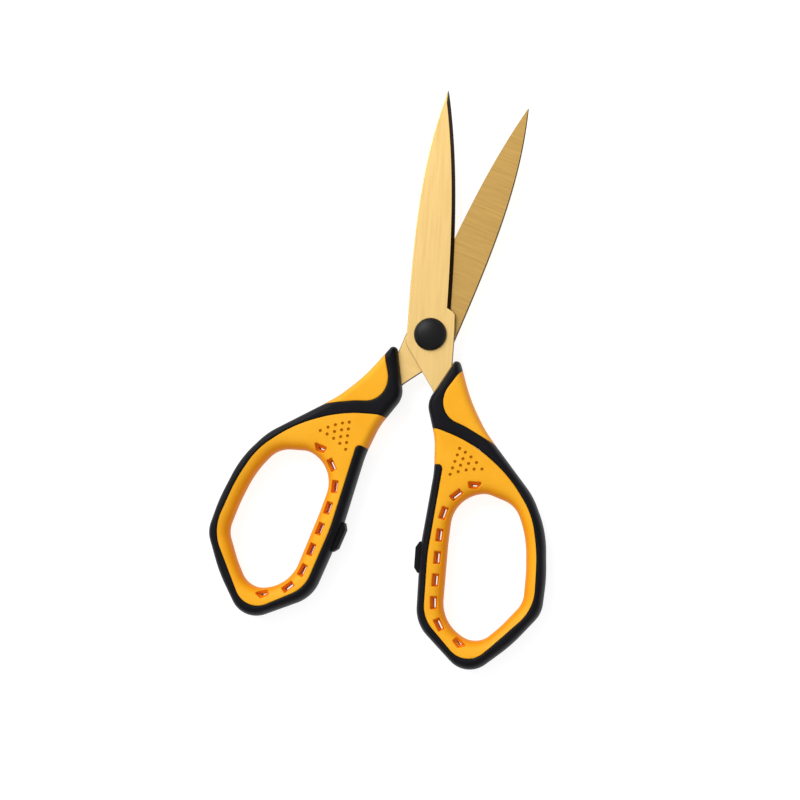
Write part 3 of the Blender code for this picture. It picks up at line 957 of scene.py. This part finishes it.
# Golds, each at its darkest and lightest. The inner face is ground from a little above the pivot.
BRIGHT_GOLD = ((0.87, 0.585, 0.215), (0.93, 0.645, 0.255))
GROUND_GOLD = ((0.51, 0.31, 0.088), (0.63, 0.39, 0.12))
# The bevel's near-black gold is a painted dark reflection, and the sides' near-black gold is painted
# shade.
BEVEL_PAINTED_REFLECTION_GOLD = ((0.014, 0.008, 0.004), (0.035, 0.02, 0.01))
SIDE_PAINTED_SHADE_GOLD = ((0.045, 0.026, 0.011), (0.08, 0.045, 0.02))
GROUND_FROM_Y = 3.0
GROUND_BLEND = 0.5


def brushed_gold(name, turn, shades, roughness, stretch, streak_mm, depth_mm, tang_shades=None):
    """Gold-coloured coating over grinding lines, long along the axis with the larger stretch.

    tang_shades, if given, are those of the unground part behind the pivot.
    """
    made = Shader(name)
    streaks = made.noise(made.coordinates(stretch, turn), 1 / MM / streak_mm, 4.0, 0.6)
    broad = made.noise(made.coordinates(), CLOUD_SCALE / 2)
    lines = made.add(streaks, broad, 0.15)
    colour = made.ramp(lines, [(0.3, shades[0]), (0.7, shades[1])])
    if tang_shades:
        plain = made.ramp(lines, [(0.3, tang_shades[0]), (0.7, tang_shades[1])])
        along = made.axis(made.coordinates(turn=turn), "Y")
        is_ground = made.between(along, GROUND_FROM_Y * MM, (GROUND_FROM_Y + GROUND_BLEND) * MM)
        colour = made.mix(is_ground, plain, colour)
    made.link(colour, "Base Color")
    made.link(made.spread(streaks, roughness - 0.05, roughness + 0.08), "Roughness")
    made.bump(streaks, depth_mm)
    made.set(Metallic=1.0)
    return made.material


def blade_golds(end, turn):
    """The materials of one blade's outer face, inner face, cutting bevel and sides, the bevel's
    near-black with a painted dark reflection and the sides' near-black with painted shade.
    """
    along = (1, 50, 1)
    across = (35, 1, 1)
    return [
        brushed_gold("gold_outer_" + end, turn, BRIGHT_GOLD, 0.33, along, 0.35, 0.004),
        brushed_gold("gold_inner_" + end, turn, GROUND_GOLD, 0.36, across, 0.35, 0.006, BRIGHT_GOLD),
        brushed_gold("gold_bevel_painted_reflection_" + end, turn, BEVEL_PAINTED_REFLECTION_GOLD, 0.4, along, 0.4, 0.004),
        brushed_gold("gold_side_painted_shade_" + end, turn, SIDE_PAINTED_SHADE_GOLD, 0.42, along, 0.3, 0.004),
    ]


def turned_steel(name, colour, roughness):
    """Plain steel with the faint rings of turning about the pivot axis."""
    made = Shader(name)
    rings = made.tree.nodes.new("ShaderNodeTexWave")
    rings.wave_type = "RINGS"
    rings.rings_direction = "Z"
    rings.inputs["Scale"].default_value = 900
    rings.inputs["Distortion"].default_value = 0.6
    made.tree.links.new(made.coordinates(), rings.inputs["Vector"])
    dark = tuple(c * 0.8 for c in colour)
    made.link(made.ramp(rings.outputs["Fac"], [(0.0, dark), (1.0, colour)]), "Base Color")
    made.link(made.spread(rings.outputs["Fac"], roughness, roughness + 0.1), "Roughness")
    made.bump(rings.outputs["Fac"], 0.005)
    made.set(Metallic=1.0)
    return made.material


yellow = yellow_with_painted_shade()
# Painted shade: the dimples are a darker orange than the face round them.
dimples_painted_shade = plastic(
    "dimples_painted_shade_orange",
    dark=(0.62, 0.27, 0.0),
    light=(0.68, 0.29, 0.0),
    roughness=0.5,
    grain_mm=0.25,
    grain_depth_mm=0.012,
    specular=0.05,
)
# Painted shade: the slots' walls are a deeper orange than the face round them.
slot_walls_painted_shade = plastic(
    "slot_walls_painted_shade_orange",
    dark=(0.84, 0.235, 0.01),
    light=(0.90, 0.265, 0.015),
    roughness=0.5,
    grain_mm=0.25,
    grain_depth_mm=0.012,
    specular=0.05,
)
grip_black = plastic(
    "black_soft_grip",
    dark=(0.003, 0.003, 0.005),
    light=(0.006, 0.006, 0.009),
    roughness=0.45,
    grain_mm=0.3,
    grain_depth_mm=0.02,
    specular=0.11,
)
bumper_black = plastic(
    "black_bumper_rubber",
    dark=(0.003, 0.003, 0.004),
    light=(0.005, 0.005, 0.006),
    roughness=0.6,
    grain_mm=0.3,
    grain_depth_mm=0.02,
    specular=0.12,
)
cap_black = plastic(
    "black_cap_plastic",
    dark=(0.003, 0.003, 0.004),
    light=(0.005, 0.005, 0.006),
    roughness=0.40,
    grain_mm=0.35,
    grain_depth_mm=0.05,
    specular=0.22,
)
nylon = plastic(
    "natural_nylon",
    dark=(0.50, 0.48, 0.42),
    light=(0.56, 0.54, 0.49),
    roughness=0.45,
    grain_mm=0.3,
    grain_depth_mm=0.01,
    specular=0.4,
)
steel = turned_steel("turned_steel", (0.6, 0.6, 0.62), 0.28)
half_open = math.radians(OPEN_ANGLE / 2)
front_golds = blade_golds("front", half_open)
rear_golds = blade_golds("rear", -half_open)


# Pieces on their bodies

FRONT, REAR = "front_half", "rear_half"
front_place = Matrix.Rotation(half_open, 4, "Z")
rear_place = Matrix.Rotation(-half_open, 4, "Z")
rear_place @= Matrix.Translation((0, 0, THICKNESS * MM))
rear_place @= Matrix.Rotation(math.pi, 4, "Y")


def finish_piece(piece, node, body, materials):
    """Gives a piece its materials, kept in their places, and puts it on its body in its node's stead."""
    places = [polygon.material_index for polygon in piece.data.polygons]
    piece.data.materials.clear()
    for material in materials:
        piece.data.materials.append(material)
    piece.data.polygons.foreach_set("material_index", places)
    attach(piece, body)
    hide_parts(node)


def both_halves(piece, front_node, rear_node, front_materials, rear_materials):
    """Places a piece's mesh on the front half, and a copy of it turned over on the rear half."""
    twin = bpy.data.objects.new(rear_node + "_fine", piece.data.copy())
    bpy.context.scene.collection.objects.link(twin)
    piece.data.transform(front_place)
    twin.data.transform(rear_place)
    finish_piece(piece, front_node, FRONT, front_materials)
    finish_piece(twin, rear_node, REAR, rear_materials)


yellows = [yellow, slot_walls_painted_shade, dimples_painted_shade]
both_halves(core_mesh(), "right_handle_core", "left_handle_core", yellows, yellows)
both_halves(grip_mesh(), "right_soft_grip", "left_soft_grip", [grip_black], [grip_black])
both_halves(
    bumper_mesh(), "right_stop_bumper", "left_stop_bumper", [bumper_black], [bumper_black]
)
both_halves(blade_mesh(), "front_blade", "rear_blade", front_golds, rear_golds)
finish_piece(front_cap_mesh(), "front_pivot_cap", FRONT, [cap_black])
finish_piece(rear_cap_mesh(), "rear_pivot_cap", FRONT, [cap_black])

# The pivot's hidden pieces keep their plain shapes.
hidden_materials = {
    "pivot_screw": steel,
    "front_washer": steel,
    "spring_washer": steel,
    "pivot_nut": steel,
    "blade_spacer": nylon,
}
for node, material in hidden_materials.items():
    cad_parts[node].data.materials.clear()
    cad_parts[node].data.materials.append(material)


# Stage, light and camera

# Most of the floor's brightness is its own glow, so that the shadows on it stay faint.
FLOOR_SIZE = 6.0
FLOOR_Z = -0.0004
FLOOR_GREYS = ((0.33, 0.33, 0.33), (0.35, 0.35, 0.35))
FLOOR_GLOW = 0.82

WORLD_STRENGTH = 0.6

CAMERA_LENS = 104.4
CAMERA_SENSOR = 36
CAMERA_AIM = (-0.00546, -0.02587, MIDDLE * MM)
CAMERA_DISTANCE = 0.85
CAMERA_TURNS = (("Z", 13.87), ("Y", 7.84), ("X", 5.36))


def make_floor():
    bpy.ops.mesh.primitive_plane_add(size=FLOOR_SIZE, location=(0, 0, FLOOR_Z))
    floor = bpy.context.object
    floor.name = "floor"
    made = Shader("pale_floor")
    tint = made.noise(made.coordinates(), 3.0)
    made.link(made.ramp(tint, [(0.3, FLOOR_GREYS[0]), (0.7, FLOOR_GREYS[1])]), "Base Color")
    made.set(Roughness=0.9, Specular_IOR_Level=0.0)
    made.set(Emission_Color=(1, 1, 1, 1), Emission_Strength=FLOOR_GLOW)
    floor.data.materials.append(made.material)


def make_light(name, direction, distance, size, irradiance):
    """A round soft light towards direction, aimed at the origin.

    irradiance is what it sheds there on a surface that faces it.
    """
    data = bpy.data.lights.new(name, "AREA")
    data.shape = "DISK"
    data.size = size
    data.energy = irradiance * math.pi * distance**2
    lamp = bpy.data.objects.new(name, data)
    bpy.context.scene.collection.objects.link(lamp)
    lamp.location = Vector(direction).normalized() * distance
    lamp.rotation_euler = (-lamp.location).to_track_quat("-Z", "Y").to_euler()


def make_world():
    world = bpy.data.worlds.new("studio")
    bpy.context.scene.world = world
    world.use_nodes = True
    background = world.node_tree.nodes["Background"]
    background.inputs["Color"].default_value = (1.0, 1.0, 1.0, 1.0)
    background.inputs["Strength"].default_value = WORLD_STRENGTH


def make_camera():
    """Above the scissors, nearly square to them, a little towards the right handle's end."""
    data = bpy.data.cameras.new("camera")
    data.lens = CAMERA_LENS
    data.sensor_width = CAMERA_SENSOR
    camera = bpy.data.objects.new("camera", data)
    bpy.context.scene.collection.objects.link(camera)
    turn = Matrix.Identity(4)
    for axis, degrees in CAMERA_TURNS:
        turn @= Matrix.Rotation(math.radians(degrees), 4, axis)
    back = Matrix.Translation((0, 0, CAMERA_DISTANCE))
    camera.matrix_world = Matrix.Translation(CAMERA_AIM) @ turn @ back
    bpy.context.scene.camera = camera


make_floor()
make_world()
make_light("key", direction=(-0.62, 0.45, 0.62), distance=2.4, size=2.0, irradiance=0.72 * math.pi)
make_light("top", direction=(-0.2, 0.14, 1.0), distance=3.0, size=4.0, irradiance=0.09 * math.pi)
make_camera()
bpy.context.scene.view_settings.view_transform = "Standard"
